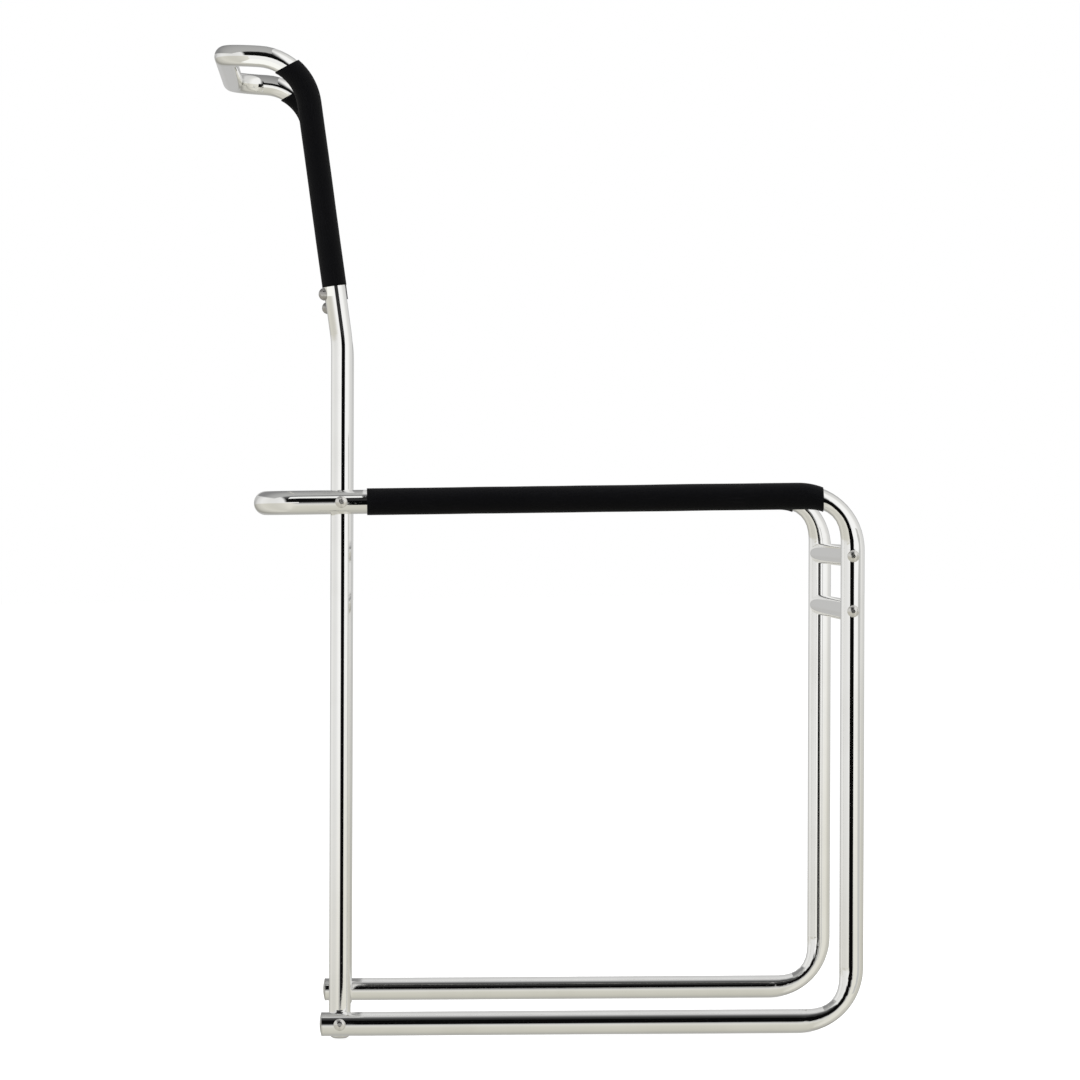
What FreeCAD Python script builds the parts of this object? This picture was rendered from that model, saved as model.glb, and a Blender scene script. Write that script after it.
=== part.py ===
import FreeCAD, Part
import math
import os

Vector = FreeCAD.Vector

# A steel side chair of bent tube with a woven sling for the seat and another for the back.
# Millimetres. X points to the front of the chair, Y to the sitter's left and Z up.
# Places in the side view are measured from the foot of the rear upright, on the floor.
# At the end everything moves so that the origin is under the middle of the chair.

# Tubes
rail_diameter = 20.0
rail_wall = 1.5
back_tube_diameter = 18.0
back_tube_wall = 1.5
crossbar_diameter = 18.0
crossbar_wall = 1.5

# Side frame
frame_width = 450.0
upright_spacing = 426.7
upright_lean = 0.95  # degrees, both pairs of uprights lean to the front
seat_rail_height = 448.0
foot_lift = 3.2  # how far the feet hold the rear of the runners off the floor
runner_overhang = 14.3
seat_loop_reach = 55.8
corner_radius = 45.0
corner_flattening = 4.7  # the tube is this much thinner in the middle of a front bend
seat_loop_radius = 28.0

# Back frame
kink_height = 582.0
kink_radius = 95.0
back_lean = 7.0  # degrees from upright, to the rear, above the kink
head_corner_height = 818.5
head_bend_radius = 45.0
head_arm_rise = 4.0  # degrees
head_arm_straight = 2.0
head_loop_radius = 27.0
tube_contact_gap = 0.1

# Front crossbars, held by plugs and bolts
upper_crossbar_drop = 50.7  # below the seat rails
crossbar_spacing = 45.9
plug_length = 24.0
plug_clearance = 0.05

# Bolts, nuts and screws
bolt_diameter = 6.0
bolt_head_diameter = 10.0
bolt_head_height = 3.2
head_rim_share = 0.25  # of a head's height, below its dome
socket_across_flats = 3.0
socket_depth = 1.8
bolt_hole_clearance = 0.2
thread_clearance = 0.05
crossbar_bolt_grip = 14.0
nut_across_flats = 10.0
nut_height = 4.5
nut_dome_diameter = 9.4
nut_dome_height = 3.6
nut_wall = 1.2
seat_clearance = 0.05
stop_screw_diameter = 5.0
stop_screw_head_diameter = 10.5
stop_screw_head_height = 5.0
stop_screw_depth = 8.0

# End caps
foot_cap_height = 5.0
foot_dome_height = 3.6
foot_flat_diameter = 7.5
foot_dome_bulge = 0.7
runner_cap_height = 2.4
runner_cap_edge = 0.9
cap_stem_length = 12.0
cap_stem_clearance = 0.1

# Slings
cloth_thickness = 0.9
cloth_clearance = 0.25
seat_sleeve_clearance = 0.55  # leaves room for the flattened bends
seat_sling_rear = 28.8
seat_sling_front = 409.2
seat_sag = 6.0
back_sling_start = 46.8  # along the rear upright, above the kink
back_sling_bend = 47.0  # degrees of the head bend that the sling covers
back_sling_end_slope = 27.5  # degrees above level, of the cut at its upper end
back_sag = 8.0
stop_screw_gap = 0.3
bend_sections = 12

# Sizes that follow
rail_radius = rail_diameter / 2
back_radius = back_tube_diameter / 2
crossbar_radius = crossbar_diameter / 2
bolt_radius = bolt_diameter / 2
rail_y = frame_width / 2 - rail_radius
upright_y = rail_y - rail_radius - tube_contact_gap - back_radius
lean_slope = math.tan(math.radians(upright_lean))
lean_length = math.cos(math.radians(upright_lean))
runner_joint_height = rail_radius + foot_lift
sleeve_radius = rail_radius + seat_sleeve_clearance
back_sleeve_radius = back_radius + cloth_clearance
far_away = 4 * head_corner_height
across = Vector(0, 1, 0)
up = Vector(0, 0, 1)
sides = {"right": -1, "left": 1}


def direction(degrees_above_level):
    """Unit vector in the side view."""
    angle = math.radians(degrees_above_level)
    return Vector(math.cos(angle), 0, math.sin(angle))


def rear_upright(height):
    return Vector(lean_slope * height, 0, height)


def front_upright(height):
    return Vector(upright_spacing + lean_slope * height, 0, height)


def at_side(point, y):
    return Vector(point.x, y, point.z)


def mirrored(points):
    """The route on the right side, then the same points on the left side in reverse."""
    left = [Vector(point.x, -point.y, point.z) for point in reversed(points)]
    return points + left


def bend_at(before, corner, after, radius):
    """Where a bend of this radius starts and ends, and its centre."""
    back = (before - corner).normalize()
    onward = (after - corner).normalize()
    half_angle = back.getAngle(onward) / 2
    reach = radius / math.tan(half_angle)
    centre = corner + (back + onward).normalize() * (radius / math.sin(half_angle))
    return corner + back * reach, corner + onward * reach, centre


def bent_line(corners, radii):
    """Straight lines through the corner points, each inner corner rounded by its radius."""
    edges = []
    start = corners[0]
    for before, corner, after, radius in zip(corners, corners[1:], corners[2:], radii):
        first, last, centre = bend_at(before, corner, after, radius)
        middle = centre + (corner - centre).normalize() * radius
        edges.append(Part.LineSegment(start, first).toShape())
        edges.append(Part.Arc(first, middle, last).toShape())
        start = last
    edges.append(Part.LineSegment(start, corners[-1]).toShape())
    return Part.Wire(edges)


def disc(centre, normal, radius):
    return Part.Face(Part.Wire(Part.makeCircle(radius, centre, normal)))


def bent_tube(corners, radii, radius, wall):
    """A tube of even wall bent along the rounded line."""
    route = bent_line(corners, radii)
    start = corners[0]
    along = corners[1] - corners[0]
    ring = disc(start, along, radius).cut(disc(start, along, radius - wall))
    return route.makePipe(ring.Faces[0])


def oval(middle, facing, depth, width):
    """An ellipse across a tube, this half depth towards facing and this half width across."""
    along = facing.cross(across)
    stretch = FreeCAD.Matrix(
        facing.x * depth, across.x * width, along.x, middle.x,
        facing.y * depth, across.y * width, along.y, middle.y,
        facing.z * depth, across.z * width, along.z, middle.z,
        0, 0, 0, 1)
    return Part.Wire(Part.makeCircle(1)).transformGeometry(stretch)


def pressed_bend(before, corner, after, growth):
    """The solid inside a front bend, where bending has pressed the round tube flatter."""
    first, last, centre = bend_at(before, corner, after, corner_radius)
    outward = (first - centre).normalize()
    ahead = (corner - first).normalize()
    turn = outward.getAngle(last - centre)
    ovals = []
    for step in range(bend_sections + 1):
        share = step / bend_sections
        facing = outward * math.cos(turn * share) + ahead * math.sin(turn * share)
        press = corner_flattening * math.sin(math.pi * share) ** 2
        middle = centre + facing * (corner_radius + press / 2)
        ovals.append(oval(middle, facing, rail_radius + growth - press / 2, rail_radius + growth))
    return Part.makeLoft(ovals, True)


def rod(start, end, radius):
    along = end - start
    return Part.makeCylinder(radius, along.Length, start, along)


def turned(profile, base, axis):
    """Revolves a closed profile of (radius, height) edges and stands it on base along axis."""
    solid = Part.Face(Part.Wire(profile)).revolve(Vector(), up, 360)
    solid.Placement = FreeCAD.Placement(base, FreeCAD.Rotation(up, axis))
    return solid


def line(start, end):
    """One straight edge of a turned profile, from (radius, height) to (radius, height)."""
    return Part.LineSegment(Vector(start[0], 0, start[1]), Vector(end[0], 0, end[1])).toShape()


def arc(start, middle, end):
    points = [Vector(radius, 0, height) for radius, height in (start, middle, end)]
    return Part.Arc(*points).toShape()


def dome_edge(radius, rim, crown):
    """The edge of a round dome, from its rim at this radius to its crown on the axis."""
    ball_radius = (radius ** 2 + (crown - rim) ** 2) / (2 * (crown - rim))
    centre = crown - ball_radius
    half_turn = math.atan2(radius, rim - centre) / 2
    middle = (ball_radius * math.sin(half_turn), centre + ball_radius * math.cos(half_turn))
    return arc((radius, rim), middle, (0, crown))


def saddle_depth(tube_radius, reach):
    """How far a tube's surface falls away at this distance beside its crest."""
    return tube_radius - math.sqrt(tube_radius ** 2 - reach ** 2)


def hexagon(across_flats, height, base, axis):
    corner_radius_of_hexagon = across_flats / math.sqrt(3)
    points = []
    for step in range(7):
        angle = math.radians(60 * step)
        points.append(Vector(math.cos(angle), math.sin(angle), 0) * corner_radius_of_hexagon)
    solid = Part.Face(Part.makePolygon(points)).extrude(up * height)
    solid.Placement = FreeCAD.Placement(base, FreeCAD.Rotation(up, axis))
    return solid


# The floor runner touches the floor where the front bend starts and rises to the rear
runner_joint = rear_upright(runner_joint_height)
front_bend_height = corner_radius + rail_radius
front_bend_centre = front_upright(front_bend_height) - Vector(corner_radius / lean_length, 0, 0)
to_bend = front_bend_centre - runner_joint
runner_angle = math.atan2(to_bend.z, to_bend.x) - math.asin(corner_radius / to_bend.Length)
runner_along = direction(math.degrees(runner_angle))
runner_end = runner_joint - runner_along * runner_overhang
runner_run = (upright_spacing * lean_length) / (runner_along.x * lean_length
                                                - runner_along.z * math.sin(math.radians(upright_lean)))
runner_front = runner_joint + runner_along * runner_run
seat_rail_front = front_upright(seat_rail_height)
seat_rail_rear = Vector(-seat_loop_reach, 0, seat_rail_height)

# The upper part of the back frame leans to the rear and ends in a loop
kink = rear_upright(kink_height)
back_along = direction(90 + back_lean)
head_corner = kink + back_along * ((head_corner_height - kink_height) / back_along.z)
head_turn = 90 - back_lean - head_arm_rise
head_tangent = head_bend_radius * math.tan(math.radians(head_turn / 2))
head_arm = direction(180 - head_arm_rise)
head_end = head_corner + head_arm * (head_tangent + head_arm_straight + head_loop_radius)
head_bend_start = head_corner - back_along * head_tangent
to_sitter = direction(back_lean)
head_bend_centre = head_bend_start - to_sitter * head_bend_radius

# Bolted joints in the side view
seat_joint = rear_upright(seat_rail_height)
back_sling_foot = kink + back_along * back_sling_start
stop_screw_place = back_sling_foot - back_along * (stop_screw_head_diameter / 2 + stop_screw_gap)
upper_crossbar_height = seat_rail_height - upper_crossbar_drop
crossbar_places = {
    "upper": front_upright(upper_crossbar_height),
    "lower": front_upright(upper_crossbar_height - crossbar_spacing),
}

# The middle of the chair over the floor
front_reach = (front_upright(seat_rail_height - corner_radius).x - corner_radius / lean_length
               + corner_radius + rail_radius)
rear_reach = head_end.x - back_radius
to_origin = Vector(-(front_reach + rear_reach) / 2, 0, 0)


def bolt_hole(place, side):
    """The drilled way of one bolt, from outside the side frame to inside the uprights."""
    outside = at_side(place, side * frame_width)
    inside = at_side(place, side * (upright_y - 2 * back_radius))
    return rod(outside, inside, bolt_radius + bolt_hole_clearance)


def base_seat_frame():
    """One tube: runner, front upright, seat rail and the loop behind the seat, on both sides."""
    loop_front = bend_at(runner_front, seat_rail_front, seat_rail_rear, corner_radius)[1]
    loop = [at_side(point, -rail_y) for point in (loop_front, seat_rail_rear)]
    tube = bent_tube(mirrored(loop), [seat_loop_radius] * 2, rail_radius, rail_wall)
    for side in sides.values():
        corners = [at_side(point, side * rail_y)
                   for point in (runner_end, runner_front, seat_rail_front, seat_rail_rear)]
        start = runner_end
        for before, corner, after in zip(corners, corners[1:], corners[2:]):
            bend_start, bend_end, _ = bend_at(before, corner, after, corner_radius)
            straight = bent_tube([at_side(start, side * rail_y), bend_start], [], rail_radius, rail_wall)
            bend = pressed_bend(before, corner, after, 0).cut(
                pressed_bend(before, corner, after, -rail_wall))
            tube = tube.fuse([straight, bend])
            start = bend_end
    tube = tube.removeSplitter()
    for side in sides.values():
        for place in (runner_joint, seat_joint):
            tube = tube.cut(bolt_hole(place, side))
        for place in crossbar_places.values():
            tube = tube.cut(bolt_hole(place, side))
    return tube


def back_frame():
    """One thinner tube: both rear uprights and the loop behind the head."""
    foot = rear_upright(foot_cap_height)
    route = [at_side(point, -upright_y) for point in (foot, kink, head_corner, head_end)]
    radii = [kink_radius, head_bend_radius, head_loop_radius]
    tube = bent_tube(mirrored(route), radii + radii[::-1], back_radius, back_tube_wall)
    for side in sides.values():
        for place in (runner_joint, seat_joint):
            tube = tube.cut(bolt_hole(place, side))
        screw = at_side(stop_screw_place, side * upright_y)
        hole = rod(screw, screw - to_sitter * rail_diameter, stop_screw_diameter / 2 + thread_clearance)
        tube = tube.cut(hole)
    return tube


def front_upright_space(side):
    """The room that a front upright takes, with the clearance of what is coped to it."""
    low = at_side(front_upright(0), side * rail_y)
    high = at_side(front_upright(seat_rail_height), side * rail_y)
    return rod(low, high, rail_radius + seat_clearance)


def crossbar(place):
    """A tube between the front uprights, with both ends coped round them."""
    right = at_side(place, -rail_y)
    left = at_side(place, rail_y)
    tube = rod(right, left, crossbar_radius).cut(rod(right, left, crossbar_radius - crossbar_wall))
    for side in sides.values():
        tube = tube.cut(front_upright_space(side))
    return tube


def crossbar_plug(place, side):
    """A threaded plug inside one end of a crossbar."""
    outer = at_side(place, side * rail_y)
    inner = at_side(place, side * (rail_y - rail_radius - plug_length))
    plug = rod(outer, inner, crossbar_radius - crossbar_wall - plug_clearance)
    plug = plug.cut(rod(outer, inner, bolt_radius + thread_clearance))
    return plug.cut(front_upright_space(side))


def round_head(diameter, height, skirt, base, axis):
    """A domed head whose skirt reaches down beside the crest of the tube it sits on."""
    radius = diameter / 2
    rim = height * head_rim_share
    return turned([
        line((0, -skirt), (radius, -skirt)),
        line((radius, -skirt), (radius, rim)),
        dome_edge(radius, rim, height),
        line((0, height), (0, -skirt)),
    ], base, axis)


def bolt(place, side, tube_y, shank_length, tube_space):
    """A round-headed bolt across the chair, its head fitted to the outside of a tube."""
    outward = across * side
    crest = at_side(place, side * (tube_y + rail_radius))
    skirt = saddle_depth(rail_radius, bolt_head_diameter / 2)
    head = round_head(bolt_head_diameter, bolt_head_height, skirt, crest, outward)
    head = head.cut(tube_space)
    shank_top = crest + outward * (bolt_head_height * head_rim_share)
    shank = rod(shank_top, crest - outward * shank_length, bolt_radius)
    socket_base = crest + outward * (bolt_head_height - socket_depth)
    socket = hexagon(socket_across_flats, bolt_head_height, socket_base, outward)
    return head.fuse(shank).removeSplitter().cut(socket)


def tube_space(start, end, radius):
    """The room that a straight tube takes, with the clearance of what sits on it."""
    return rod(start, end, radius + seat_clearance)


def joint_bolt(place, side, along):
    """Bolts a runner or a seat rail to the rear upright inside it."""
    middle = at_side(place, side * rail_y)
    rail = tube_space(middle - along * rail_diameter, middle + along * rail_diameter, rail_radius)
    length = rail_diameter + tube_contact_gap + back_tube_diameter + nut_height
    return bolt(place, side, rail_y, length, rail)


def joint_nut(place, side):
    """A domed nut on the inner side of the rear upright."""
    inward = across * -side
    middle = at_side(place, side * upright_y)
    crest = middle + inward * back_radius
    skirt = saddle_depth(back_radius, nut_across_flats / math.sqrt(3))
    body = hexagon(nut_across_flats, skirt + nut_height, crest - inward * skirt, inward)
    dome = turned([
        line((0, 0), (nut_dome_diameter / 2, 0)),
        dome_edge(nut_dome_diameter / 2, 0, nut_dome_height),
        line((0, nut_dome_height), (0, 0)),
    ], crest + inward * nut_height, inward)
    bore_end = crest + inward * (nut_height + nut_dome_height - nut_wall)
    upright = tube_space(middle - back_tube_diameter * leaning(), middle + back_tube_diameter * leaning(),
                         back_radius)
    nut = body.fuse(dome).removeSplitter().cut(upright)
    return nut.cut(rod(middle, bore_end, bolt_radius + thread_clearance))


def leaning():
    """Unit vector up along the uprights."""
    return direction(90 - upright_lean)


def crossbar_bolt(place, side):
    """Bolts a front upright to the plug in a crossbar."""
    return bolt(place, side, rail_y, rail_diameter + crossbar_bolt_grip, front_upright_space(side))


def stop_screw(side):
    """A round-headed screw in the rear of an upright, which keeps the sling from sliding down."""
    middle = at_side(stop_screw_place, side * upright_y)
    rearward = to_sitter * -1
    crest = middle + rearward * back_radius
    skirt = saddle_depth(back_radius, stop_screw_head_diameter / 2)
    head = round_head(stop_screw_head_diameter, stop_screw_head_height, skirt, crest, rearward)
    reach = back_along * stop_screw_head_diameter
    head = head.cut(tube_space(middle - reach, middle + reach, back_radius))
    top = crest + rearward * (stop_screw_head_height * head_rim_share)
    return head.fuse(rod(top, crest - rearward * stop_screw_depth, stop_screw_diameter / 2))


def foot_cap(side):
    """A domed plug in the foot of a rear upright, ground flat where it stands on the floor."""
    stem = back_radius - back_tube_wall - cap_stem_clearance
    flat = foot_flat_diameter / 2
    bulge = ((flat + back_radius) / 2 + foot_dome_bulge, foot_dome_height / 2 - foot_dome_bulge)
    top = foot_cap_height + cap_stem_length
    below = -flat * math.sin(math.radians(upright_lean))
    cap = turned([
        line((0, below), (flat, below)),
        arc((flat, below), bulge, (back_radius, foot_dome_height)),
        line((back_radius, foot_dome_height), (back_radius, foot_cap_height)),
        line((back_radius, foot_cap_height), (stem, foot_cap_height)),
        line((stem, foot_cap_height), (stem, top)),
        line((stem, top), (0, top)),
        line((0, top), (0, below)),
    ], Vector(0, side * upright_y, 0), leaning())
    cap = cap.cut(bolt_hole(runner_joint, side))
    floor = Part.makeBox(far_away, far_away, far_away, Vector(-far_away / 2, -far_away / 2, -far_away))
    return cap.cut(floor)


def runner_end_cap(side):
    """A low domed plug in the rear end of a runner."""
    stem = rail_radius - rail_wall - cap_stem_clearance
    depth = -min(cap_stem_length, runner_overhang - bolt_diameter)
    return turned([
        line((0, depth), (stem, depth)),
        line((stem, depth), (stem, 0)),
        line((stem, 0), (rail_radius, 0)),
        line((rail_radius, 0), (rail_radius, runner_cap_edge)),
        dome_edge(rail_radius, runner_cap_edge, runner_cap_height),
        line((0, runner_cap_height), (0, depth)),
    ], at_side(runner_end, side * rail_y), runner_along * -1)


def sling_section(start, along, face_out, sleeve_y, inner_radius, sag):
    """Cross-section of a sling: a sleeve round each tube and one sagging web between them."""
    outer_radius = inner_radius + cloth_thickness
    section = None
    for side in sides.values():
        centre = at_side(start, side * sleeve_y)
        ring = disc(centre, along, outer_radius).cut(disc(centre, along, inner_radius))
        section = ring if section is None else section.fuse(ring)
    edges = []
    for radius in (outer_radius, inner_radius):
        ends = [at_side(start, side * sleeve_y) + face_out * radius for side in (-1, 1)]
        middle = start + face_out * (radius - sag)
        edges.append(Part.Arc(ends[0], middle, ends[1]).toShape())
    for side in (-1, 1):
        crest = at_side(start, side * sleeve_y)
        edges.append(Part.LineSegment(crest + face_out * inner_radius,
                                      crest + face_out * outer_radius).toShape())
    web = Part.Face(Part.Wire(Part.__sortEdges__(edges)))
    tubes = [disc(at_side(start, side * sleeve_y), along, inner_radius) for side in (-1, 1)]
    for tube in tubes:
        web = web.cut(tube)
    return section.fuse(web).removeSplitter()


def swept_section(section, run, bend_centre, turn):
    """The section pushed along the tubes, then carried on round their bend."""
    straight = section.extrude(run)
    curved = section.translated(run).revolve(bend_centre, across, turn)
    return straight.fuse(curved).removeSplitter()


def seat_sling():
    """Cloth round both seat rails, its front edge a little way round the front bends."""
    _, bend_start, bend_centre = bend_at(runner_front, seat_rail_front, seat_rail_rear, corner_radius)
    start = Vector(seat_sling_rear, 0, seat_rail_height)
    section = sling_section(start, Vector(1, 0, 0), up, rail_y, sleeve_radius, seat_sag)
    cloth = swept_section(section, bend_start - start, bend_centre, 60)
    beyond = Part.makeBox(far_away, far_away, far_away,
                          Vector(seat_sling_front, -far_away / 2, -far_away / 2))
    return cloth.cut(beyond)


def back_sling():
    """Cloth round both rear uprights, its upper edge cut on a slant in the head bend."""
    section = sling_section(back_sling_foot, back_along, to_sitter, upright_y, back_sleeve_radius,
                            back_sag)
    run = head_bend_start - back_sling_foot
    cloth = swept_section(section, run, head_bend_centre, -head_turn)
    edge = direction(back_lean + back_sling_bend)
    upper_middle = head_bend_centre + edge * head_bend_radius
    cut_along = direction(back_sling_end_slope)
    beyond = Part.makeBox(far_away, far_away, far_away, Vector(-far_away / 2, -far_away / 2, 0))
    beyond.Placement = FreeCAD.Placement(upper_middle, FreeCAD.Rotation(Vector(1, 0, 0), cut_along))
    return cloth.cut(beyond)


pieces = {
    "base_seat_frame": base_seat_frame(),
    "back_frame": back_frame(),
    "seat_sling": seat_sling(),
    "back_sling": back_sling(),
}
for level, place in crossbar_places.items():
    pieces["front_crossbar_" + level] = crossbar(place)
for name, side in sides.items():
    pieces["seat_rail_bolt_" + name] = joint_bolt(seat_joint, side, Vector(1, 0, 0))
    pieces["seat_rail_nut_" + name] = joint_nut(seat_joint, side)
    pieces["runner_bolt_" + name] = joint_bolt(runner_joint, side, runner_along)
    pieces["runner_nut_" + name] = joint_nut(runner_joint, side)
    pieces["runner_end_cap_" + name] = runner_end_cap(side)
    pieces["foot_cap_" + name] = foot_cap(side)
    pieces["sling_stop_screw_" + name] = stop_screw(side)
    for level, place in crossbar_places.items():
        pieces["crossbar_plug_" + level + "_" + name] = crossbar_plug(place, side)
        pieces["crossbar_bolt_" + level + "_" + name] = crossbar_bolt(place, side)

os.makedirs("parts", exist_ok=True)
for name, piece in pieces.items():
    piece.translate(to_origin)
    if not piece.isValid():
        raise ValueError(name + " is not a valid solid")
    piece.exportStep("parts/" + name + ".step")
    box = piece.BoundBox
    print("%-28s solids %d volume %9.1f x %7.1f %7.1f y %7.1f %7.1f z %6.1f %6.1f" % (
        name, len(piece.Solids), piece.Volume, box.XMin, box.XMax, box.YMin, box.YMax,
        box.ZMin, box.ZMax))
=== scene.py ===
import bpy
import math
from mathutils import Matrix, Vector, noise


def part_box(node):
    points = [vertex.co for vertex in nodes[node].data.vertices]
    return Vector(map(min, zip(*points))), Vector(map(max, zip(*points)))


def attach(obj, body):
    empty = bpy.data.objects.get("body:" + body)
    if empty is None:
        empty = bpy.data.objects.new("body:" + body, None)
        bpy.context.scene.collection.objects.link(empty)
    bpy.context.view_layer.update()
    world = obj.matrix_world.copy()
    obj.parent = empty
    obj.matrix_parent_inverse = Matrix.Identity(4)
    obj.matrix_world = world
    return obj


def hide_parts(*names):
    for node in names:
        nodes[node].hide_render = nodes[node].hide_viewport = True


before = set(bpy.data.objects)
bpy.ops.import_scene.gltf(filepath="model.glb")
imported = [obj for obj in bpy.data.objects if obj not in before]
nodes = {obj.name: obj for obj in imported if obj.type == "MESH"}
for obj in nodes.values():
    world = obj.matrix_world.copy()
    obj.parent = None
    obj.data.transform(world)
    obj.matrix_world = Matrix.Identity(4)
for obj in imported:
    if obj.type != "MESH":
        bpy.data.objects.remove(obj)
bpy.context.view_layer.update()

# The two bent frames and the two front crossbars.
# Each is a steel tube, bent cold, ground, polished and plated with chromium.
# The back frame stands inside the seat frame, and the crossbars are coped to the front uprights.

smudge_scale = 28.0
smudge_edges = (0.42, 0.68)
smudge_grey = (0.55, 0.54, 0.5, 1.0)
smudge_dulling = 0.16
smudge_roughening = 0.05
pit_scale = 1900.0
pit_edges = (0.7, 0.78)
polishing_scale = (90.0, 90.0, 2600.0)
marks_strength = 0.05
marks_depth = 0.0001


def add_node(tree, kind, inputs=None, **settings):
    """Adds a shader node, sets its options, and sets or links its inputs."""
    made = tree.nodes.new(kind)
    for name, value in settings.items():
        setattr(made, name, value)
    for name, value in (inputs or {}).items():
        if isinstance(value, bpy.types.NodeSocket):
            tree.links.new(value, made.inputs[name])
        else:
            made.inputs[name].default_value = value
    return made


def maths(tree, operation, *values):
    """The result of a Math node whose inputs are numbers or other nodes' outputs."""
    return add_node(tree, "ShaderNodeMath", dict(enumerate(values)), operation=operation).outputs[0]


def between(tree, value, low, high, out_low=0.0, out_high=1.0):
    """Eases a value from one range into another."""
    return add_node(tree, "ShaderNodeMapRange",
                    {"Value": value, "From Min": low, "From Max": high,
                     "To Min": out_low, "To Max": out_high},
                    interpolation_type="SMOOTHSTEP").outputs["Result"]


def noise_of(tree, place, scale, detail):
    """Soft random patches, with this many to a unit of the place and this many finer layers."""
    return add_node(tree, "ShaderNodeTexNoise",
                    {"Vector": place, "Scale": scale, "Detail": detail}).outputs["Fac"]


def stretched(tree, place, scale):
    """The place with each of its axes scaled by its own amount."""
    return add_node(tree, "ShaderNodeMapping", {"Vector": place, "Scale": scale}).outputs[0]


def mixed(tree, share, first, second):
    """A colour between two others."""
    mix = add_node(tree, "ShaderNodeMix", data_type="RGBA")
    for socket, value in zip((mix.inputs[0], mix.inputs[6], mix.inputs[7]), (share, first, second)):
        if isinstance(value, bpy.types.NodeSocket):
            tree.links.new(value, socket)
        else:
            socket.default_value = value
    return mix.outputs[2]


def new_group(name, inputs, outputs):
    """A shader node group with these inputs, {name: value}, and outputs, {name: socket type}."""
    group = bpy.data.node_groups.new(name, "ShaderNodeTree")
    for label, value in inputs.items():
        kind = "NodeSocketFloat" if isinstance(value, float) else "NodeSocketColor"
        group.interface.new_socket(label, in_out="INPUT", socket_type=kind).default_value = value
    for label, kind in outputs.items():
        group.interface.new_socket(label, in_out="OUTPUT", socket_type=kind)
    return group, group.nodes.new("NodeGroupInput"), group.nodes.new("NodeGroupOutput")


def new_material(name):
    """A material, its node tree and its shader."""
    material = bpy.data.materials.new(name)
    material.use_nodes = True
    return material, material.node_tree, material.node_tree.nodes["Principled BSDF"]


def handling_marks():
    """Cloudy smudges, fine polishing lines and tiny pits, as worn plating has."""
    group, given, result = new_group(
        "Handling marks",
        {"Metal": (0.8, 0.8, 0.8, 1.0), "Smudge": 0.5, "Polishing": 0.5, "Roughness": 0.05},
        {"Colour": "NodeSocketColor", "Roughness": "NodeSocketFloat", "Height": "NodeSocketFloat"})
    place = add_node(group, "ShaderNodeTexCoord").outputs["Object"]
    clouds = between(group, noise_of(group, place, smudge_scale, 4.0), *smudge_edges)
    pits = between(group, noise_of(group, place, pit_scale, 1.0), *pit_edges)
    lines = noise_of(group, stretched(group, place, polishing_scale), 1.0, 2.0)
    smudge = maths(group, "MULTIPLY", clouds, given.outputs["Smudge"])
    dull = mixed(group, maths(group, "MULTIPLY", smudge, smudge_dulling), given.outputs["Metal"],
                 smudge_grey)
    rough = maths(group, "MULTIPLY_ADD", smudge, smudge_roughening, given.outputs["Roughness"])
    line_height = maths(group, "MULTIPLY", lines, given.outputs["Polishing"])
    height = maths(group, "SUBTRACT", line_height, pits)
    group.links.new(dull, result.inputs["Colour"])
    group.links.new(rough, result.inputs["Roughness"])
    group.links.new(height, result.inputs["Height"])
    return group


marks = handling_marks()


def plated(name, metal, smudge, polishing, roughness):
    """A bright plated metal with its own share of marks."""
    material, tree, shader = new_material(name)
    shader.inputs["Metallic"].default_value = 1.0
    worn = add_node(tree, "ShaderNodeGroup", node_tree=marks)
    worn.inputs["Metal"].default_value = metal
    worn.inputs["Smudge"].default_value = smudge
    worn.inputs["Polishing"].default_value = polishing
    worn.inputs["Roughness"].default_value = roughness
    bump = add_node(tree, "ShaderNodeBump", {"Height": worn.outputs["Height"],
                                             "Strength": marks_strength, "Distance": marks_depth})
    tree.links.new(worn.outputs["Colour"], shader.inputs["Base Color"])
    tree.links.new(worn.outputs["Roughness"], shader.inputs["Roughness"])
    tree.links.new(bump.outputs["Normal"], shader.inputs["Normal"])
    return material


def finish_with(material, *names):
    """Gives these pieces of the solid model their material."""
    for name in names:
        for slot in nodes[name].material_slots:
            slot.material = material


polished_chromium = plated("polished_chromium", metal=(0.86, 0.86, 0.855, 1.0), smudge=0.5,
                           polishing=0.4, roughness=0.02)
finish_with(polished_chromium, "base_seat_frame", "back_frame", "front_crossbar_upper",
            "front_crossbar_lower")

# The fasteners: round-headed bolts with domed nuts, and threaded plugs in the crossbars.
# The heads are plated steel with a small hexagon socket, and stand on the outside of the tubes.
# Two round-headed screws under the back sling keep it from sliding down.

plated_screw = plated("plated_screw", metal=(0.7, 0.69, 0.67, 1.0), smudge=1.0,
                      polishing=1.0, roughness=0.24)
# Painted shade: the stop screws under the back sling are the same plated steel, drawn darker than the
# other screws and with more smudging.
shade_darkened_screw = plated("shade_darkened_screw", metal=(0.4, 0.39, 0.38, 1.0), smudge=1.2,
                    polishing=1.0, roughness=0.3)
turned_steel = plated("turned_steel", metal=(0.5, 0.5, 0.5, 1.0), smudge=0.6,
                      polishing=3.0, roughness=0.3)
for side in ("left", "right"):
    finish_with(plated_screw, "seat_rail_bolt_" + side, "seat_rail_nut_" + side,
                "runner_bolt_" + side, "runner_nut_" + side)
    finish_with(shade_darkened_screw, "sling_stop_screw_" + side)
    for level in ("upper", "lower"):
        finish_with(plated_screw, "crossbar_bolt_" + level + "_" + side)
        finish_with(turned_steel, "crossbar_plug_" + level + "_" + side)

# The caps: low domed plugs in the rear ends of the runners, and feet under the rear uprights.
# They are plated steel, pressed into the tubes.
# The feet are ground flat where they stand on the floor.

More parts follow.
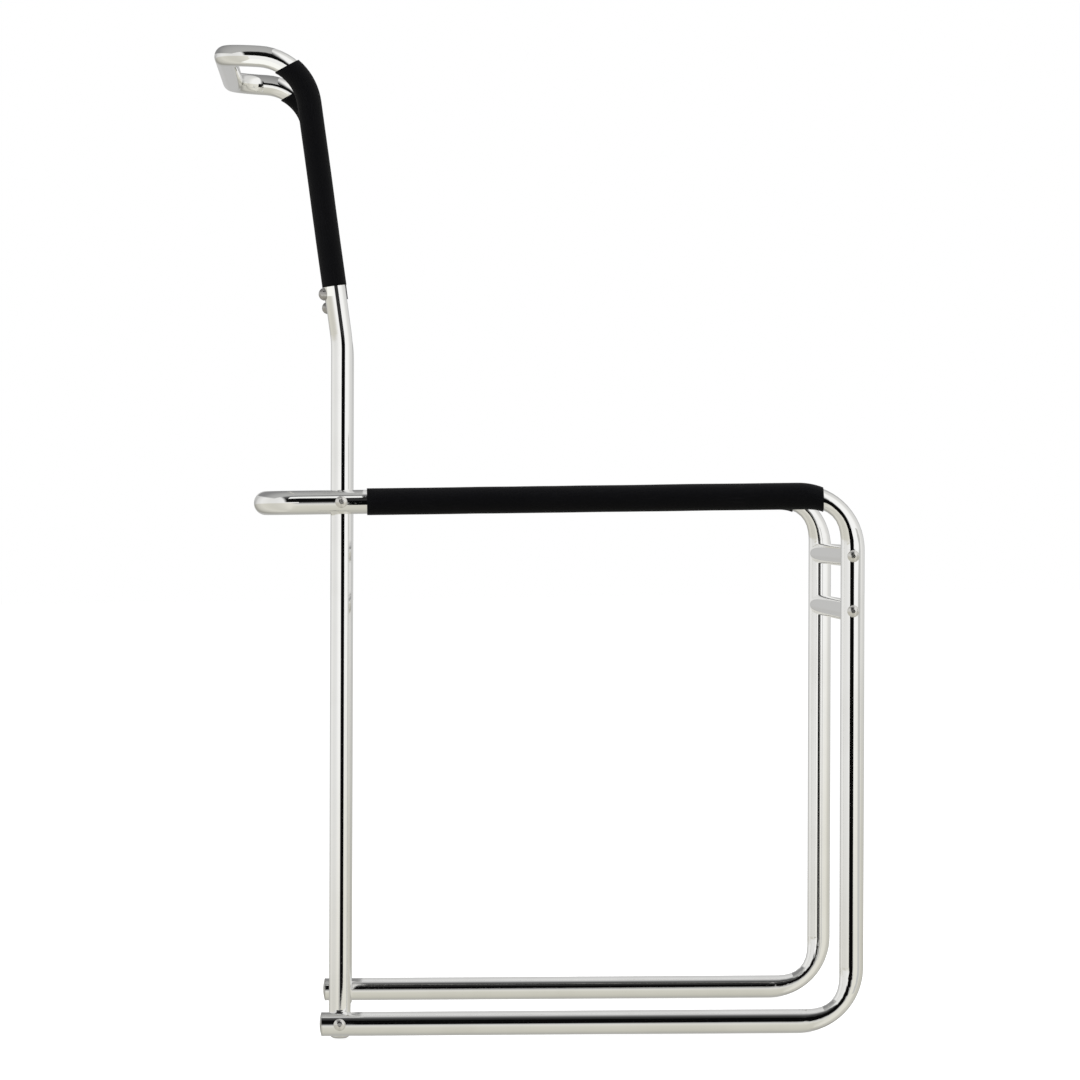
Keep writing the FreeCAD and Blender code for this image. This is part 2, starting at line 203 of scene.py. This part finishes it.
worn_cap = plated("worn_cap", metal=(0.74, 0.74, 0.73, 1.0), smudge=1.4,
                  polishing=1.2, roughness=0.12)
for side in ("left", "right"):
    finish_with(worn_cap, "runner_end_cap_" + side, "foot_cap_" + side)

# The seat sling: one length of black, tightly spun and waxed cotton cloth.
# Each side goes round a seat rail and comes back under the web, where two rows of stitches hold it.
# Its front edge ends a little way round the bends, which are pressed flatter than the rails.

cloth_thickness = 0.0009
cloth_gap = 0.0003
hem_below_web = cloth_thickness * 1.05  # so that the two layers don't touch
seam_reach = 0.015
seam_overlap = 0.022
web_bowl = 0.002
ripple_height = 0.0005
ripple_on_tube = 0.35
ripple_layers = (  # waves per metre across and along, a place in the noise, share of the height
    (22.0, 16.0, 3.1, 1.0),
    (70.0, 46.0, 7.7, 0.35),
)
straight_row_share = 0.85
edge_rounds = 5  # rounds of finding where the cut edge crosses a height

rail_radius = 0.010
rail_y = 0.215
rail_front_corner = Vector((0.2596, 0.0, 0.448))
upright_lean = math.radians(0.95)
front_bend_radius = 0.045
front_bend_turn = math.pi / 2 + upright_lean
front_bend_flattening = 0.0047
seat_sag = 0.006
seat_rows = 80
seat_low, seat_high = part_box("seat_sling")


class TubeRun:
    """The line of a tube in the side view: a straight stretch, then a bend away from the face side."""

    def __init__(self, start, heading, straight, bend_radius, bend_turn, flattening,
                 cut_point, cut_facing):
        self.start = start
        self.heading = heading
        self.straight = straight
        self.bend_radius = bend_radius
        self.bend_turn = bend_turn
        self.flattening = flattening
        lies_flat = heading.z < 0.5
        to_face = 1.0 if lies_flat else -1.0
        self.face = Vector((-heading.z, 0.0, heading.x)) * to_face
        self.centre = start + heading * straight - self.face * bend_radius
        self.cut_turn = math.atan2(cut_facing.dot(heading), cut_facing.dot(self.face))
        self.cut_reach = (cut_point - self.centre).dot(cut_facing)

    def pressed(self, turn, lift, wrap):
        """The height over the centreline after the bend has pressed the tube flatter."""
        press = self.flattening * math.sin(math.pi * turn / self.bend_turn) ** 2
        return wrap - (wrap - lift) * (1.0 - press / (2.0 * wrap))

    def place(self, station, lift, wrap):
        """The point at this length along the tube and this height over its centreline."""
        if station <= self.straight:
            return self.start + self.heading * station + self.face * lift
        turn = (station - self.straight) / self.bend_radius
        outward = self.face * math.cos(turn) + self.heading * math.sin(turn)
        return self.centre + outward * (self.bend_radius + self.pressed(turn, lift, wrap))

    def end(self, lift, wrap):
        """The length along the tube where the cloth's cut edge crosses this height."""
        turn = 0.0
        for _ in range(edge_rounds):
            reach = self.bend_radius + self.pressed(turn, lift, wrap)
            turn = self.cut_turn - math.acos(self.cut_reach / reach)
        return self.straight + turn * self.bend_radius


class SlingSection:
    """The cloth's middle layer across the chair, from one hem under the web to the other."""

    def __init__(self, tube_y, tube_radius, sag):
        self.tube_y = tube_y
        self.sag = sag
        self.wrap = tube_radius + cloth_gap + cloth_thickness / 2
        seam = self.under_web(seam_reach - tube_y)
        distance = math.hypot(seam_reach, seam)
        self.leave = math.atan2(seam_reach, seam) + math.acos(self.wrap / distance)

    def web(self, y):
        """The height of the web over the tubes' centrelines."""
        return self.wrap - self.sag * (1.0 - (y / self.tube_y) ** 2)

    def under_web(self, y):
        """The height of the hem that lies under the web."""
        return self.web(y) - hem_below_web

    def half(self):
        """Points (y, lift) on the right side, from the hem to the middle of the web."""
        points = []
        overlap_steps, gap_steps, wrap_steps, web_steps = 8, 4, 40, 26
        for step in range(overlap_steps):
            y = seam_reach + seam_overlap * (1.0 - step / overlap_steps) - self.tube_y
            points.append((y, self.under_web(y)))
        start = Vector((seam_reach, self.under_web(seam_reach - self.tube_y)))
        touch = Vector((math.sin(self.leave), math.cos(self.leave))) * self.wrap
        for step in range(gap_steps):
            point = start.lerp(touch, step / gap_steps)
            points.append((point.x - self.tube_y, point.y))
        for step in range(wrap_steps):
            angle = (self.leave - 2.0 * math.pi) * (1.0 - step / wrap_steps)
            points.append((self.wrap * math.sin(angle) - self.tube_y, self.wrap * math.cos(angle)))
        for step in range(web_steps):
            y = -self.tube_y * (1.0 - step / web_steps)
            points.append((y, self.web(y)))
        return points

    def points(self):
        """Points (y, lift) from the right hem to the left one."""
        right = self.half()
        left = [(-y, lift) for y, lift in reversed(right)]
        return right + [(0.0, self.web(0.0))] + left


def cloth_ripple(y, station, amount):
    """Slight unevenness of stretched cloth, the same on every run."""
    height = 0.0
    for across, along, layer, share in ripple_layers:
        height += share * noise.noise(Vector((y * across, station * along, layer)))
    return amount * height


def settled(run, section, y, station, lift):
    """The place of a point of the cloth once the web has stretched and settled."""
    inside = 1.0 - min(1.0, (y / section.tube_y) ** 2)
    dip = web_bowl * inside * math.sin(math.pi * min(1.0, station / run.straight))
    unevenness = ripple_height * (ripple_on_tube + (1.0 - ripple_on_tube) * inside)
    return run.place(station, lift - dip + cloth_ripple(y, station, unevenness), section.wrap)


def add_soft_piece(name, mesh):
    """Puts a piece into the scene, kept out of the metal's reflections."""
    mesh.shade_smooth()
    piece = bpy.data.objects.new(name, mesh)
    bpy.context.scene.collection.objects.link(piece)
    piece.visible_glossy = False
    return piece


def sling_cloth(name, run, section, rows):
    """The sling's cloth as one sheet with its thickness, laid out in metres in its UV map."""
    outline = section.points()
    across = [0.0]
    for before, after in zip(outline, outline[1:]):
        across.append(across[-1] + math.dist(before, after))
    straight_rows = round(rows * straight_row_share)
    bend_rows = rows - straight_rows
    vertices = []
    stations = []
    for row in range(rows + 1):
        for y, lift in outline:
            if row <= straight_rows:
                station = run.straight * row / straight_rows
            else:
                share = (row - straight_rows) / bend_rows
                station = run.straight + (run.end(lift, section.wrap) - run.straight) * share
            point = settled(run, section, y, station, lift)
            vertices.append((point.x, y, point.z))
            stations.append(station)
    width = len(outline)
    faces = []
    for row in range(rows):
        for column in range(width - 1):
            corner = row * width + column
            faces.append((corner, corner + 1, corner + width + 1, corner + width))
    mesh = bpy.data.meshes.new(name)
    mesh.from_pydata(vertices, [], faces)
    layout = mesh.uv_layers.new(name="cloth_metres")
    for loop in mesh.loops:
        layout.data[loop.index].uv = (across[loop.vertex_index % width],
                                      stations[loop.vertex_index])
    cloth = add_soft_piece(name, mesh)
    body = cloth.modifiers.new("thickness", "SOLIDIFY")
    body.thickness = cloth_thickness
    body.offset = 0.0
    return cloth, across[-1]


stitch_pitch = 0.0042
stitch_length = 0.0031
stitch_margin = 0.004
thread_radius = 0.0003
thread_sides = 6
stitch_rings = (  # share of the stitch's length, and width and rise in thread radii
    (0.0, 0.25, -1.6),
    (0.12, 0.85, -0.3),
    (0.3, 1.0, 0.35),
    (0.7, 1.0, 0.35),
    (0.88, 0.85, -0.3),
    (1.0, 0.25, -1.6),
)


def stitch_points(run, section, y, begin, surface, above):
    """One stitch on the cloth's surface: a short thread that dips into the cloth at both ends."""
    points = []
    for share, width, rise in stitch_rings:
        station = begin + share * stitch_length
        for corner in range(thread_sides):
            angle = 2 * math.pi * corner / thread_sides
            across = thread_radius * width * math.cos(angle)
            lift = surface + above * thread_radius * rise
            lift += thread_radius * width * math.sin(angle)
            point = settled(run, section, y, station, lift)
            points.append((point.x, y + across, point.z))
    return points


def stitch_faces(first):
    """The faces of the stitch whose points start at this number, with its two ends."""
    faces = []
    for ring in range(len(stitch_rings) - 1):
        start = first + ring * thread_sides
        for corner in range(thread_sides):
            after = (corner + 1) % thread_sides
            faces.append((start + corner, start + after, start + thread_sides + after,
                          start + thread_sides + corner))
    end = first + (len(stitch_rings) - 1) * thread_sides
    faces.append(tuple(range(first, first + thread_sides)))
    faces.append(tuple(range(end + thread_sides - 1, end - 1, -1)))
    return faces


def stitch_rows(name, run, section):
    """Two rows of stitches beside each tube, on the web's face and under its hem."""
    vertices = []
    faces = []
    reaches = (seam_reach + stitch_margin, seam_reach + seam_overlap - stitch_margin)
    for y in [side * (section.tube_y - reach) for side in (-1, 1) for reach in reaches]:
        last = run.end(section.web(y), section.wrap) - 2 * stitch_pitch
        for step in range(int((last - stitch_pitch) / stitch_pitch)):
            begin = stitch_pitch * (step + 1.0)
            for above, layer in ((1, section.web(y)), (-1, section.under_web(y))):
                surface = layer + above * cloth_thickness / 2
                faces += stitch_faces(len(vertices))
                vertices += stitch_points(run, section, y, begin, surface, above)
    mesh = bpy.data.meshes.new(name)
    mesh.from_pydata(vertices, [], faces)
    return add_soft_piece(name, mesh)


slub_scale = (1400.0, 60.0, 1.0)
slub_edges = (0.45, 0.8)
worn_patch_scale = 14.0
worn_patch_edges = (0.35, 0.7)
yarn_roughness = 0.42
slub_roughness = 0.2
slub_height = 0.3


def plain_weave():
    """Threads that cross over and under, from a UV map in metres."""
    group, given, result = new_group(
        "Plain weave",
        {"Thread": 0.0008, "Yarn": (0.01, 0.01, 0.01, 1.0), "Worn And Sheen Yarn": (0.03, 0.03, 0.03, 1.0)},
        {"Colour": "NodeSocketColor", "Roughness": "NodeSocketFloat", "Height": "NodeSocketFloat"})
    layout = add_node(group, "ShaderNodeUVMap", uv_map="cloth_metres").outputs[0]
    parts = add_node(group, "ShaderNodeSeparateXYZ", {"Vector": layout})
    heights = []
    for along, over, phase in (("X", "Y", 0.0), ("Y", "X", math.pi)):
        thread = maths(group, "DIVIDE", parts.outputs[along], given.outputs["Thread"])
        crossing = maths(group, "DIVIDE", parts.outputs[over], given.outputs["Thread"])
        turn = maths(group, "MULTIPLY", maths(group, "FLOOR", thread), math.pi)
        travel = maths(group, "MULTIPLY_ADD", crossing, math.pi, phase)
        wave = maths(group, "SINE", maths(group, "ADD", travel, turn))
        raised = maths(group, "MULTIPLY_ADD", wave, 0.5, 0.5)
        side = maths(group, "MULTIPLY", maths(group, "FRACT", thread), math.pi)
        heights.append(maths(group, "MULTIPLY", raised, maths(group, "SINE", side)))
    weave = maths(group, "MAXIMUM", *heights)
    slubs = noise_of(group, stretched(group, layout, slub_scale), 1.0, 2.0)
    patches = noise_of(group, layout, worn_patch_scale, 4.0)
    worn = maths(group, "MULTIPLY", between(group, slubs, *slub_edges),
                 between(group, patches, *worn_patch_edges))
    # Painted sheen: the worn patches, which differ at random, are drawn lighter only on the threads'
    # raised crowns.
    worn_crown_sheen = maths(group, "MULTIPLY", worn, weave)
    colour = mixed(group, worn_crown_sheen, given.outputs["Yarn"], given.outputs["Worn And Sheen Yarn"])
    rough = maths(group, "MULTIPLY_ADD", slubs, slub_roughness, yarn_roughness)
    height = maths(group, "MULTIPLY_ADD", slubs, slub_height, weave)
    group.links.new(colour, result.inputs["Colour"])
    group.links.new(rough, result.inputs["Roughness"])
    group.links.new(height, result.inputs["Height"])
    return group


def black_cloth():
    """Waxed cotton, nearly black, with a faint sheen, and a painted sheen: a lighter colour on the
    crowns of its worn threads.
    """
    material, tree, shader = new_material("waxed_black_cloth")
    shader.inputs["Specular IOR Level"].default_value = 0.06
    shader.inputs["Sheen Weight"].default_value = 0.006
    shader.inputs["Sheen Roughness"].default_value = 0.4
    woven = add_node(tree, "ShaderNodeGroup", node_tree=plain_weave())
    woven.inputs["Thread"].default_value = 0.0009
    # The lighter worn colour is partly random wear and partly painted sheen on the thread crowns.
    woven.inputs["Yarn"].default_value = (0.0026, 0.0026, 0.0033, 1.0)
    woven.inputs["Worn And Sheen Yarn"].default_value = (0.011, 0.011, 0.0125, 1.0)
    bump = add_node(tree, "ShaderNodeBump", {"Height": woven.outputs["Height"], "Strength": 0.6,
                                             "Distance": 0.00025})
    tree.links.new(woven.outputs["Colour"], shader.inputs["Base Color"])
    tree.links.new(woven.outputs["Roughness"], shader.inputs["Roughness"])
    tree.links.new(bump.outputs["Normal"], shader.inputs["Normal"])
    return material


def black_thread():
    """Black sewing thread, a little shinier than the cloth, with the twist of its plies, whose crests
    are painted lighter as sheen.
    """
    material, tree, shader = new_material("waxed_black_thread")
    shader.inputs["Roughness"].default_value = 0.45
    shader.inputs["Specular IOR Level"].default_value = 0.3
    place = add_node(tree, "ShaderNodeTexCoord").outputs["Object"]
    turned = add_node(tree, "ShaderNodeMapping", {"Vector": place, "Rotation": (0.0, 0.0, 0.7)})
    plies = add_node(tree, "ShaderNodeTexWave", {"Vector": turned.outputs[0], "Scale": 900.0,
                                                 "Distortion": 1.0}).outputs["Fac"]
    # Painted sheen: the plies' crests get the lighter colour.
    colour = mixed(tree, plies, (0.004, 0.004, 0.0045, 1.0), (0.02, 0.02, 0.021, 1.0))
    bump = add_node(tree, "ShaderNodeBump", {"Height": plies, "Strength": 0.5, "Distance": 0.0001})
    tree.links.new(colour, shader.inputs["Base Color"])
    tree.links.new(bump.outputs["Normal"], shader.inputs["Normal"])
    return material


waxed_cloth = black_cloth()
sewing_thread = black_thread()

front_bend_start = rail_front_corner.x - front_bend_radius * math.tan(front_bend_turn / 2)
seat_run = TubeRun(
    start=Vector((seat_low.x, 0.0, rail_front_corner.z)),
    heading=Vector((1.0, 0.0, 0.0)),
    straight=front_bend_start - seat_low.x,
    bend_radius=front_bend_radius,
    bend_turn=front_bend_turn,
    flattening=front_bend_flattening,
    cut_point=Vector((seat_high.x, 0.0, rail_front_corner.z)),
    cut_facing=Vector((1.0, 0.0, 0.0)),
)
seat_section = SlingSection(rail_y, rail_radius, seat_sag)
seat_cloth, seat_cut = sling_cloth("seat_sling_cloth", seat_run, seat_section, seat_rows)
seat_cloth.data.materials.append(waxed_cloth)
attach(seat_cloth, "root")
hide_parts("seat_sling")
seat_stitches = stitch_rows("seat_sling_stitches", seat_run, seat_section)
seat_stitches.data.materials.append(sewing_thread)
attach(seat_stitches, "root")

# The back sling: the same cloth, sewn round the two rear uprights above the kink.
# Its web lies on the sitter's side of the tubes, and its upper edge is cut on a slant in the bend.

back_tube_radius = 0.009
back_tube_y = 0.1959
back_lean = math.radians(7.0)
back_sag = 0.008
back_rows = 60
head_bend_radius = 0.045
back_sling_bend = math.radians(47.0)
back_sling_slope = math.radians(27.5)
back_sling_foot = Vector((-0.17058, 0.0, 0.62845))
head_bend_start = Vector((-0.18939, 0.0, 0.78168))

up_the_back = Vector((-math.sin(back_lean), 0.0, math.cos(back_lean)))
to_sitter = Vector((math.cos(back_lean), 0.0, math.sin(back_lean)))
head_bend_centre = head_bend_start - to_sitter * head_bend_radius
edge_outward = to_sitter * math.cos(back_sling_bend) + up_the_back * math.sin(back_sling_bend)
back_run = TubeRun(
    start=back_sling_foot,
    heading=up_the_back,
    straight=(head_bend_start - back_sling_foot).length,
    bend_radius=head_bend_radius,
    bend_turn=math.pi / 2,
    flattening=0.0,
    cut_point=head_bend_centre + edge_outward * head_bend_radius,
    cut_facing=Vector((-math.sin(back_sling_slope), 0.0, math.cos(back_sling_slope))),
)
back_section = SlingSection(back_tube_y, back_tube_radius, back_sag)
back_cloth, back_cut = sling_cloth("back_sling_cloth", back_run, back_section, back_rows)
back_cloth.data.materials.append(waxed_cloth)
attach(back_cloth, "root")
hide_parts("back_sling")
back_stitches = stitch_rows("back_sling_stitches", back_run, back_section)
back_stitches.data.materials.append(sewing_thread)
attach(back_stitches, "root")

# The studio: white paper under the chair, a light tent round it and dark screens in front of it.
# Only reflections show the tent, the screens and the cards, and the metal takes its stripes from them.
# The camera stands six metres away on the sitter's right, just below the height of the seat.

looked_at = Vector((-0.0020, -0.215, 0.4142))
camera_place = Vector((-0.1417, -6.062, 0.4369))
camera_roll = math.radians(0.756)
sensor_millimetres = 36.0
lens_millimetres = 233.9
camera_sees_to = 100.0


def turned_to(place, direction, axis):
    """Stands at a place and turns one of its own axes to this direction."""
    turn = direction.to_track_quat(axis, "Y")
    return Matrix.Translation(place) @ turn.to_matrix().to_4x4()


lens = bpy.data.cameras.new("camera")
lens.sensor_width = sensor_millimetres
lens.lens = lens_millimetres
lens.clip_end = camera_sees_to
camera = bpy.data.objects.new("camera", lens)
bpy.context.scene.collection.objects.link(camera)
camera.matrix_world = (turned_to(camera_place, looked_at - camera_place, "-Z")
                       @ Matrix.Rotation(-camera_roll, 4, "Z"))
bpy.context.scene.camera = camera


def stage_card(name, centre, width, height, facing):
    """A flat card that stands in the studio and faces this way."""
    half_width = width / 2
    half_height = height / 2
    mesh = bpy.data.meshes.new(name)
    mesh.from_pydata([(-half_width, -half_height, 0.0), (half_width, -half_height, 0.0),
                      (half_width, half_height, 0.0), (-half_width, half_height, 0.0)],
                     [], [(0, 1, 2, 3)])
    card = bpy.data.objects.new(name, mesh)
    card.matrix_world = turned_to(centre, Vector(facing), "Z")
    bpy.context.scene.collection.objects.link(card)
    return card


def glowing(name, colour):
    """A plain glow, and the node that gives it."""
    material, tree, shader = new_material(name)
    tree.nodes.remove(shader)
    glow = add_node(tree, "ShaderNodeEmission", {"Color": colour, "Strength": 1.0})
    tree.links.new(glow.outputs[0], tree.nodes["Material Output"].inputs["Surface"])
    return material, glow


def reflected_only(card):
    """Shows a card in reflections and nowhere else."""
    card.visible_camera = False
    card.visible_diffuse = False
    card.visible_shadow = False
    card.visible_transmission = False


def one_sided(name, colour):
    """Glows on its front and lets rays through from behind."""
    material, glow = glowing(name, colour)
    tree = material.node_tree
    clear = add_node(tree, "ShaderNodeBsdfTransparent")
    back = add_node(tree, "ShaderNodeNewGeometry").outputs["Backfacing"]
    side = add_node(tree, "ShaderNodeMixShader", {0: back, 1: glow.outputs[0], 2: clear.outputs[0]})
    tree.links.new(side.outputs[0], tree.nodes["Material Output"].inputs["Surface"])
    return material


toward_chair = (0.0, 1.0, 0.0)
to_the_rear = (-1.0, 0.15, 0.0)
upward = (0.0, 0.0, 1.0)
downward = (0.0, 0.0, -1.0)
for name, centre, width, height, facing, colour in (
    ("dark_screen", Vector((0.12, -1.015, 0.30)), 0.57, 0.66, toward_chair,
     (0.003, 0.003, 0.003, 1.0)),
    ("dusky_screen", Vector((0.12, -1.015, 0.79)), 0.57, 0.32, toward_chair,
     (0.035, 0.035, 0.035, 1.0)),
    ("rail_strip", Vector((-0.25, -0.45, 0.74)), 0.2, 0.18, toward_chair,
     (1.0, 1.0, 0.98, 1.0)),
    ("head_reflector", Vector((-0.265, -0.85, 0.62)), 0.19, 1.3, upward,
     (1.1, 1.1, 1.05, 1.0)),
    ("side_screen", Vector((0.53, -0.33, 0.2)), 0.12, 0.6, to_the_rear,
     (0.6, 0.6, 0.58, 1.0)),
):
    card = stage_card(name, centre, width, height, facing)
    card.data.materials.append(one_sided(name, colour))
    reflected_only(card)

canopy_place = Vector((-0.675, 0.775, 1.1))
canopy_width = 1.05
canopy_depth = 2.45
canopy_near_grey = (0.47, 0.47, 0.46, 1.0)
canopy_far_grey = (0.27, 0.27, 0.27, 1.0)
canopy_edge_grey = (0.75, 0.75, 0.74, 1.0)
canopy_darkens = (0.05, 0.4)  # shares of its depth
canopy_rear_edge = (0.8, 1.0)  # shares of its width


def canopy_shades():
    """Grey that darkens away from the lens, with a light edge at the rear."""
    material, glow = glowing("grey_canopy", canopy_near_grey)
    tree = material.node_tree
    place = add_node(tree, "ShaderNodeTexCoord").outputs["Generated"]
    parts = add_node(tree, "ShaderNodeSeparateXYZ", {"Vector": place})
    away = between(tree, parts.outputs["Y"], *canopy_darkens)
    edge = between(tree, parts.outputs["X"], *canopy_rear_edge)
    grey = mixed(tree, away, canopy_near_grey, canopy_far_grey)
    tree.links.new(mixed(tree, edge, grey, canopy_edge_grey), glow.inputs["Color"])
    return material


canopy = stage_card("grey_canopy", canopy_place, canopy_width, canopy_depth, downward)
canopy.data.materials.append(canopy_shades())
reflected_only(canopy)

floor_size = 60.0
floor_place = Vector((0.0, 0.0, -0.0004))
paper_grey = (0.4, 0.4, 0.4, 1.0)
paper_glow = 0.84


def white_paper():
    """White where the camera sees it, apart from the chair's shadow."""
    material, tree, shader = new_material("white_paper")
    shader.inputs["Roughness"].default_value = 0.9
    shader.inputs["Specular IOR Level"].default_value = 0.0
    shader.inputs["Base Color"].default_value = paper_grey
    paper = add_node(tree, "ShaderNodeEmission", {"Color": (1.0, 1.0, 1.0, 1.0),
                                                  "Strength": paper_glow})
    lit_paper = add_node(tree, "ShaderNodeAddShader", {0: shader.outputs[0], 1: paper.outputs[0]})
    rays = add_node(tree, "ShaderNodeLightPath")
    surface = add_node(tree, "ShaderNodeMixShader", {0: rays.outputs["Is Camera Ray"],
                                                     1: shader.outputs[0],
                                                     2: lit_paper.outputs[0]})
    tree.links.new(surface.outputs[0], tree.nodes["Material Output"].inputs["Surface"])
    return material


floor = stage_card("floor", floor_place, floor_size, floor_size, upward)
floor.visible_glossy = False
floor.data.materials.append(white_paper())

# The tent's levels as (degrees, level, warmth), where 0 degrees is toward the lens.
# The first table goes over and under the chair, and the second goes round it.
tent_over_and_under = (
    (-180, 0.52, 0.02), (-150, 0.47, 0.05), (-115, 0.50, 0.1), (-100, 0.57, 0.13),
    (-88, 0.62, 0.14), (-60, 0.68, 0.14), (-40, 0.70, 0.13), (-27, 0.77, 0.11),
    (-16, 0.8, 0.06), (-8, 0.5, 0.02), (-1, 0.14, 0.0), (6, 0.004, 0.0),
    (32, 0.004, 0.0), (40, 0.02, 0.0), (47, 0.048, 0.0), (56, 0.09, 0.0),
    (67, 0.24, 0.0), (78, 0.59, 0.0), (90, 0.9, 0.01), (106, 0.76, 0.01),
    (145, 0.66, 0.01), (180, 0.52, 0.02),
)
tent_round_about = (
    (-180, 0.57, 0.02), (-158, 0.42, 0.02), (-135, 0.76, 0.02), (-112, 0.93, 0.02),
    (-97, 0.9, 0.03), (-83, 0.86, 0.03), (-63, 0.86, 0.02), (-45, 0.93, 0.02),
    (-30, 1.02, 0.02), (-15, 1.06, 0.02), (40, 1.06, 0.01), (67, 1.06, 0.02),
    (81, 0.98, 0.03), (95, 0.84, 0.03), (113, 0.78, 0.03), (136, 0.76, 0.02),
    (158, 0.42, 0.02), (180, 0.57, 0.02),
)
green_lost_to_warmth = 0.15  # the share that green loses of what blue loses
beside_from, beside_to = 0.16, 0.36  # how far sideways the second table takes over
beside_from_behind, beside_to_behind = 0.5, 0.65  # the same for directions to the rear and up
level_heights = (0.05, 0.09)  # nearer the level than this, it takes over sooner,
level_sides = (0.03, 0.08)  # from this far sideways
floor_line = (-0.075, -0.015)  # how far down a direction takes on the floor's tint
floor_tint = (0.8, 0.785, 0.72)
cloth_light = 0.6


def levels_round(tree, angle, stops):
    """The colour for each direction round one axis, from degrees, level and warmth."""
    share = add_node(tree, "ShaderNodeMapRange", {"Value": angle, "From Min": -math.pi,
                                                  "From Max": math.pi}).outputs["Result"]
    ramp = add_node(tree, "ShaderNodeValToRGB", {"Fac": share})
    first, last = ramp.color_ramp.elements
    ramp.color_ramp.elements.remove(last)
    for degrees, level, warmth in stops:
        stop = first if degrees == -180 else ramp.color_ramp.elements.new((degrees + 180) / 360)
        stop.color = (level, level * (1.0 - green_lost_to_warmth * warmth),
                      level * (1.0 - warmth), 1.0)
    first.position = 0.0
    return ramp.outputs["Color"]


def light_tent(tree):
    """What the metal sees: a light tent with a warm floor and a dark gap over the lens."""
    towards = add_node(tree, "ShaderNodeTexCoord").outputs["Generated"]
    parts = add_node(tree, "ShaderNodeSeparateXYZ", {"Vector": towards})
    to_lens = maths(tree, "MULTIPLY", parts.outputs["Y"], -1.0)
    tilt = maths(tree, "ARCTAN2", parts.outputs["Z"], to_lens)
    turn = maths(tree, "ARCTAN2", parts.outputs["X"], to_lens)
    over_and_under = levels_round(tree, tilt, tent_over_and_under)
    round_about = levels_round(tree, turn, tent_round_about)

    near_floor = between(tree, parts.outputs["Z"], *floor_line, 1.0, 0.0)
    tinted = add_node(tree, "ShaderNodeVectorMath", {0: round_about, 1: floor_tint},
                      operation="MULTIPLY").outputs["Vector"]
    round_about = mixed(tree, near_floor, round_about, tinted)

    sideways = maths(tree, "ABSOLUTE", parts.outputs["X"])
    height = maths(tree, "ABSOLUTE", parts.outputs["Z"])
    back = maths(tree, "LESS_THAN", parts.outputs["X"], 0.0)
    up = maths(tree, "GREATER_THAN", parts.outputs["Z"], 0.0)
    back_and_up = maths(tree, "MULTIPLY", back, up)
    low = maths(tree, "MULTIPLY_ADD", back_and_up, beside_from_behind - beside_from, beside_from)
    high = maths(tree, "MULTIPLY_ADD", back_and_up, beside_to_behind - beside_to, beside_to)
    beside = between(tree, sideways, low, high)
    on_the_level = maths(tree, "MULTIPLY", between(tree, height, *level_heights, 1.0, 0.0),
                         between(tree, sideways, *level_sides))
    return mixed(tree, maths(tree, "MAXIMUM", beside, on_the_level), over_and_under, round_about)


def studio_world():
    """White to the camera, the light tent to the metal, and plain soft light to the rest."""
    world = bpy.data.worlds.new("studio")
    world.use_nodes = True
    tree = world.node_tree
    in_metal = add_node(tree, "ShaderNodeBackground", {"Color": light_tent(tree), "Strength": 1.0})
    on_cloth = add_node(tree, "ShaderNodeBackground", {"Color": (0.9, 0.9, 0.9, 1.0),
                                                       "Strength": cloth_light})
    white = add_node(tree, "ShaderNodeBackground", {"Color": (1.0, 1.0, 1.0, 1.0), "Strength": 1.0})
    rays = add_node(tree, "ShaderNodeLightPath")
    reached = add_node(tree, "ShaderNodeMixShader", {0: rays.outputs["Is Glossy Ray"],
                                                     1: on_cloth.outputs[0],
                                                     2: in_metal.outputs[0]})
    seen = maths(tree, "MAXIMUM", rays.outputs["Is Camera Ray"], rays.outputs["Is Transmission Ray"])
    surface = add_node(tree, "ShaderNodeMixShader", {0: seen, 1: reached.outputs[0],
                                                     2: white.outputs[0]})
    tree.links.new(surface.outputs[0], tree.nodes["World Output"].inputs["Surface"])
    return world


bpy.context.scene.world = studio_world()

lamps_aim_at = Vector((0.0, 0.0, 0.45))
for name, place, size, power in (
    ("left_softbox", Vector((-2.6, -1.6, 2.2)), 2.0, 60.0),
    ("right_softbox", Vector((2.6, -1.6, 2.2)), 2.0, 60.0),
    ("top_softbox", Vector((0.0, 0.4, 3.2)), 2.4, 40.0),
):
    light = bpy.data.lights.new(name, "AREA")
    light.shape = "SQUARE"
    light.size = size
    light.energy = power
    lamp = bpy.data.objects.new(name, light)
    lamp.matrix_world = turned_to(place, lamps_aim_at - place, "-Z")
    lamp.visible_glossy = False
    bpy.context.scene.collection.objects.link(lamp)

bpy.context.scene.view_settings.view_transform = "Standard"
